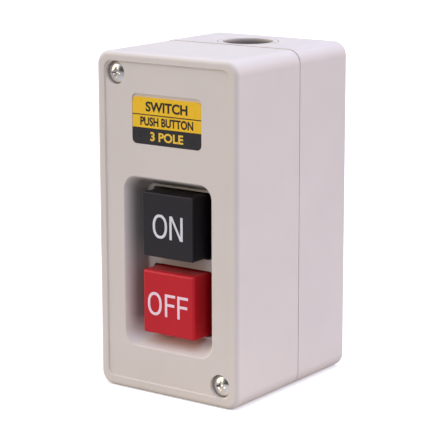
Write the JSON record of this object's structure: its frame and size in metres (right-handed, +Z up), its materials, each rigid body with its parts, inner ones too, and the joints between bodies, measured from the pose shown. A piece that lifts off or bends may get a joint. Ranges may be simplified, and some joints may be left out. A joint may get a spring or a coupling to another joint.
{
  "type": "push-button power switch",
  "caption": "Wall box switch for three-phase power: a latching ON button above an OFF button in a sunk well, two-part moulded case, conduit holes above and below.",
  "frame": {"origin": "centre of the bottom of the box", "axes": "X to the right as seen from the front, Y from the buttons towards the wall, Z up along the box's length"},
  "size_m": [0.0588, 0.0664, 0.118],
  "materials": {
    "case_plastic": "moulded, fine matt texture",
    "label_film": "printed film",
    "on_plastic": "moulded, satin",
    "off_plastic": "moulded, satin",
    "nickel_steel": "bright nickel plate",
    "brass": "bare",
    "phenolic": "moulded phenolic",
    "frame_plastic": "moulded",
    "stem_plastic": "moulded acetal",
    "contact_silver": "silver alloy",
    "zinc_steel": "zinc plate",
    "spring_steel": "drawn wire"
  },
  "bodies": {
    "root": {"front_cover": "case_plastic", "rear_base": "case_plastic", "rating_label": "label_film", "cover_screws": "nickel_steel", "cover_screw_inserts": "brass", "contact_block": "phenolic", "line_terminals": "brass", "load_terminals": "brass", "fixed_contacts": "contact_silver", "terminal_clamps": "zinc_steel", "terminal_screws": "zinc_steel", "block_screws": "zinc_steel", "earth_plate": "brass", "earth_screw": "zinc_steel", "mechanism_frame": "frame_plastic", "frame_screws": "zinc_steel", "latch_pin": "zinc_steel", "on_return_spring": "spring_steel", "off_return_spring": "spring_steel", "latch_spring": "spring_steel"},
    "on_slider": {"on_button": "on_plastic", "on_plunger": "stem_plastic", "carrier_pin": "zinc_steel", "contact_carrier": "phenolic", "moving_bridges": "brass", "moving_contacts": "contact_silver", "contact_springs": "spring_steel"},
    "off_slider": {"off_button": "off_plastic", "off_plunger": "stem_plastic"},
    "latch": {"latch_lever": "zinc_steel"}
  },
  "joints": [
    {"name": "on_press", "type": "slide", "parent": "root", "child": "on_slider", "axis": [0, 1, 0], "range_m": [0, 0.006], "stiffness_N_per_m": 900, "springref_m": -0.004, "deforming": ["on_return_spring"]},
    {"name": "off_press", "type": "slide", "parent": "root", "child": "off_slider", "axis": [0, 1, 0], "range_m": [0, 0.005], "stiffness_N_per_m": 700, "springref_m": -0.004, "deforming": ["off_return_spring"]},
    {"name": "latch_swing", "type": "hinge", "parent": "root", "child": "latch", "pos_m": [0, 0.008, 0.0485], "axis": [1, 0, 0], "range_deg": [0, 24.5], "deforming": ["latch_spring"]}
  ],
  "couplings": [
    {"joint": "latch_swing", "follows": "off_press", "rad_per_m": 84.034}
  ]
}
